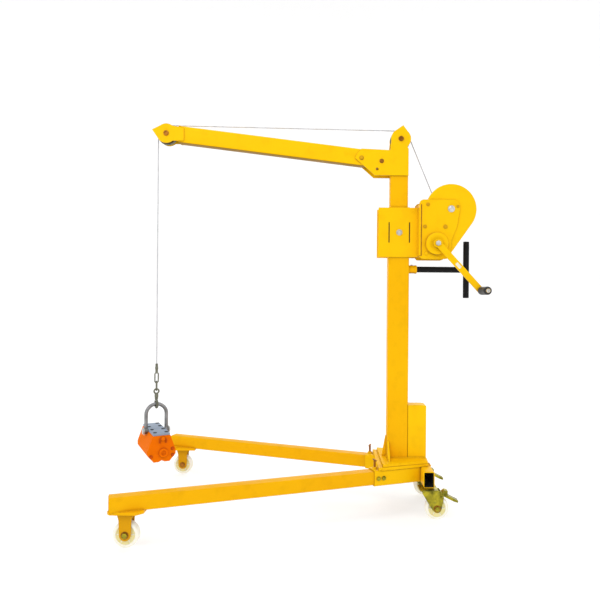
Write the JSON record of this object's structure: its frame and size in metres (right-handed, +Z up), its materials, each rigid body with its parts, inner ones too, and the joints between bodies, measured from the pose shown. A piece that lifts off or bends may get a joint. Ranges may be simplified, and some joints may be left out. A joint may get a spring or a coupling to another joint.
{
  "type": "engine hoist crane",
  "caption": "Hand-wound floor crane with splayed legs on casters, telescoping mast, bolted boom, geared rope winch, push handle and a magnetic lifting block on its hook.",
  "frame": {"origin": "on the floor, in the middle of the object's length and width", "axes": "+Z up, -X towards the boom tip and the legs' front casters, -Y the crank side"},
  "size_m": [1.6495, 1.09, 1.8075],
  "materials": {
    "yellow_paint": "glossy enamel",
    "orange_paint": "glossy enamel",
    "black_paint": "satin enamel",
    "bare_steel": "satin",
    "zinc_steel": "yellow zinc plate",
    "white_nylon": "satin",
    "black_rubber": "matt",
    "wire_rope": "galvanised"
  },
  "bodies": {
    "base": {"base_plate": "yellow_paint", "mast_foot": "yellow_paint", "cross_tube": "yellow_paint", "lower_mast": "yellow_paint", "rear_box": "yellow_paint", "near_leg_socket": "yellow_paint", "far_leg_socket": "yellow_paint", "near_swivel_plate": "zinc_steel", "far_swivel_plate": "zinc_steel", "near_bracket_side": "yellow_paint", "far_bracket_side": "yellow_paint", "lock_bolt": "bare_steel", "winch_frame": "yellow_paint", "gear_cover": "yellow_paint", "brake_housing": "yellow_paint", "handle_socket": "yellow_paint", "push_handle": "black_paint"},
    "mast_extension": {"upper_mast": "yellow_paint", "near_head_plate": "yellow_paint", "far_head_plate": "yellow_paint", "boom_bolt_1": "bare_steel", "boom_bolt_2": "bare_steel", "boom": "yellow_paint", "near_tip_plate": "yellow_paint", "far_tip_plate": "yellow_paint", "mast_pulley_pin": "bare_steel", "tip_pulley_pin": "bare_steel", "rope_top_run": "wire_rope", "rope_back_run": "wire_rope"},
    "mast_sheave": {"mast_pulley": "bare_steel"},
    "tip_sheave": {"tip_pulley": "bare_steel"},
    "leg_near": {"near_leg": "yellow_paint", "near_front_fork": "yellow_paint"},
    "leg_far": {"far_leg": "yellow_paint", "far_front_fork": "yellow_paint"},
    "front_wheel_near": {"near_front_wheel": "white_nylon"},
    "front_wheel_far": {"far_front_wheel": "white_nylon"},
    "clamp_near": {"near_clamp_screw": "bare_steel"},
    "clamp_far": {"far_clamp_screw": "bare_steel"},
    "swivel_near": {"near_rear_fork": "zinc_steel"},
    "swivel_far": {"far_rear_fork": "zinc_steel"},
    "rear_wheel_near": {"near_rear_wheel": "white_nylon"},
    "rear_wheel_far": {"far_rear_wheel": "white_nylon"},
    "pedal_near": {"near_brake_pedal": "black_rubber"},
    "pedal_far": {"far_brake_pedal": "black_rubber"},
    "winch_drum": {"drum": "bare_steel", "drum_gear": "bare_steel"},
    "winch_stage": {"stage_shaft": "bare_steel"},
    "crank": {"crank_shaft": "bare_steel", "crank_arm": "yellow_paint"},
    "grip": {"crank_grip": "black_rubber"},
    "hook_line": {"rope_fall": "wire_rope", "rope_eye": "wire_rope", "chain_link": "bare_steel", "hook_eye": "bare_steel"},
    "hook_body": {"hook": "bare_steel"},
    "latch": {"hook_latch": "zinc_steel"},
    "shackle_body": {"shackle": "bare_steel", "shackle_pin": "bare_steel"},
    "magnet": {"magnet_body": "orange_paint"}
  },
  "joints": [
    {"name": "mast_slide", "type": "slide", "parent": "base", "child": "mast_extension", "axis": [0, 0, 1], "range_m": [0, 0.25], "deforming": ["rope_back_run"]},
    {"name": "near_leg_slide", "type": "slide", "parent": "base", "child": "leg_near", "axis": [-0.9424, -0.3346, 0], "range_m": [0, 0.12]},
    {"name": "far_leg_slide", "type": "slide", "parent": "base", "child": "leg_far", "axis": [-0.9424, 0.3346, 0], "range_m": [0, 0.12]},
    {"name": "near_front_roll", "type": "hinge", "parent": "leg_near", "child": "front_wheel_near", "pos_m": [-0.6909, -0.488, 0.0525], "axis": [0, 1, 0], "continuous": true},
    {"name": "far_front_roll", "type": "hinge", "parent": "leg_far", "child": "front_wheel_far", "pos_m": [-0.6909, 0.488, 0.0525], "axis": [0, 1, 0], "continuous": true},
    {"name": "near_clamp_turn", "type": "hinge", "parent": "base", "child": "clamp_near", "pos_m": [0.3211, -0.13539, 0.23], "axis": [0, 0, 1], "range_deg": [0, 720]},
    {"name": "far_clamp_turn", "type": "hinge", "parent": "base", "child": "clamp_far", "pos_m": [0.3211, 0.13539, 0.23], "axis": [0, 0, 1], "range_deg": [0, 720]},
    {"name": "near_swivel", "type": "hinge", "parent": "base", "child": "swivel_near", "pos_m": [0.5591, -0.166, 0.13], "axis": [0, 0, 1], "continuous": true},
    {"name": "far_swivel", "type": "hinge", "parent": "base", "child": "swivel_far", "pos_m": [0.5591, 0.166, 0.13], "axis": [0, 0, 1], "continuous": true},
    {"name": "near_rear_roll", "type": "hinge", "parent": "swivel_near", "child": "rear_wheel_near", "pos_m": [0.5971, -0.166, 0.0525], "axis": [0, 1, 0], "continuous": true},
    {"name": "far_rear_roll", "type": "hinge", "parent": "swivel_far", "child": "rear_wheel_far", "pos_m": [0.5971, 0.166, 0.0525], "axis": [0, 1, 0], "continuous": true},
    {"name": "near_brake", "type": "hinge", "parent": "swivel_near", "child": "pedal_near", "pos_m": [0.6151, -0.166, 0.1134], "axis": [0, 1, 0], "range_deg": [0, 12]},
    {"name": "far_brake", "type": "hinge", "parent": "swivel_far", "child": "pedal_far", "pos_m": [0.6151, 0.166, 0.1134], "axis": [0, 1, 0], "range_deg": [0, 12]},
    {"name": "drum_spin", "type": "hinge", "parent": "base", "child": "winch_drum", "pos_m": [0.6751, 0, 1.408], "axis": [0, -1, 0], "range_deg": [-260, 1320]},
    {"name": "stage_spin", "type": "hinge", "parent": "base", "child": "winch_stage", "pos_m": [0.64833, 0, 1.32459], "axis": [0, -1, 0], "range_deg": [-6400, 1300]},
    {"name": "crank_spin", "type": "hinge", "parent": "base", "child": "crank", "pos_m": [0.60707, 0, 1.24393], "axis": [0, -1, 0], "range_deg": [-4150, 20900]},
    {"name": "grip_spin", "type": "hinge", "parent": "crank", "child": "grip", "pos_m": [0.80607, -0.17, 1.02693], "axis": [0, 1, 0], "continuous": true},
    {"name": "mast_pulley_spin", "type": "hinge", "parent": "mast_extension", "child": "mast_sheave", "pos_m": [0.4431, 0, 1.742], "axis": [0, 1, 0], "range_deg": [-240, 1210]},
    {"name": "tip_pulley_spin", "type": "hinge", "parent": "mast_extension", "child": "tip_sheave", "pos_m": [-0.6659, 0, 1.76], "axis": [0, 1, 0], "range_deg": [-240, 1210]},
    {"name": "hook_lift", "type": "slide", "parent": "mast_extension", "child": "hook_line", "axis": [0, 0, 1], "range_m": [-0.188, 0.95], "deforming": ["rope_fall"]},
    {"name": "hook_swivel", "type": "hinge", "parent": "hook_line", "child": "hook_body", "pos_m": [-0.7109, 0, 0.5], "axis": [0, 0, 1], "continuous": true},
    {"name": "latch_pivot", "type": "hinge", "parent": "hook_body", "child": "latch", "pos_m": [-0.71163, 0.00143, 0.4915], "axis": [0.891, 0.454, 0], "range_deg": [-16, 0], "stiffness_Nm_per_rad": 0.01},
    {"name": "shackle_swing", "type": "hinge", "parent": "hook_body", "child": "shackle_body", "pos_m": [-0.7109, 0, 0.4755], "axis": [0.891, 0.454, 0], "range_deg": [-25, 25]},
    {"name": "magnet_tilt", "type": "hinge", "parent": "shackle_body", "child": "magnet", "pos_m": [-0.7109, 0, 0.35], "axis": [0.891, 0.454, 0], "range_deg": [-20, 20]}
  ],
  "couplings": [
    {"joint": "stage_spin", "follows": "drum_spin", "ratio": -4.8},
    {"joint": "crank_spin", "follows": "drum_spin", "ratio": 15.771},
    {"joint": "mast_pulley_spin", "follows": "drum_spin", "ratio": 0.91111},
    {"joint": "tip_pulley_spin", "follows": "drum_spin", "ratio": 0.91111},
    {"joint": "hook_lift", "follows": "drum_spin", "m_per_rad": 0.041}
  ]
}
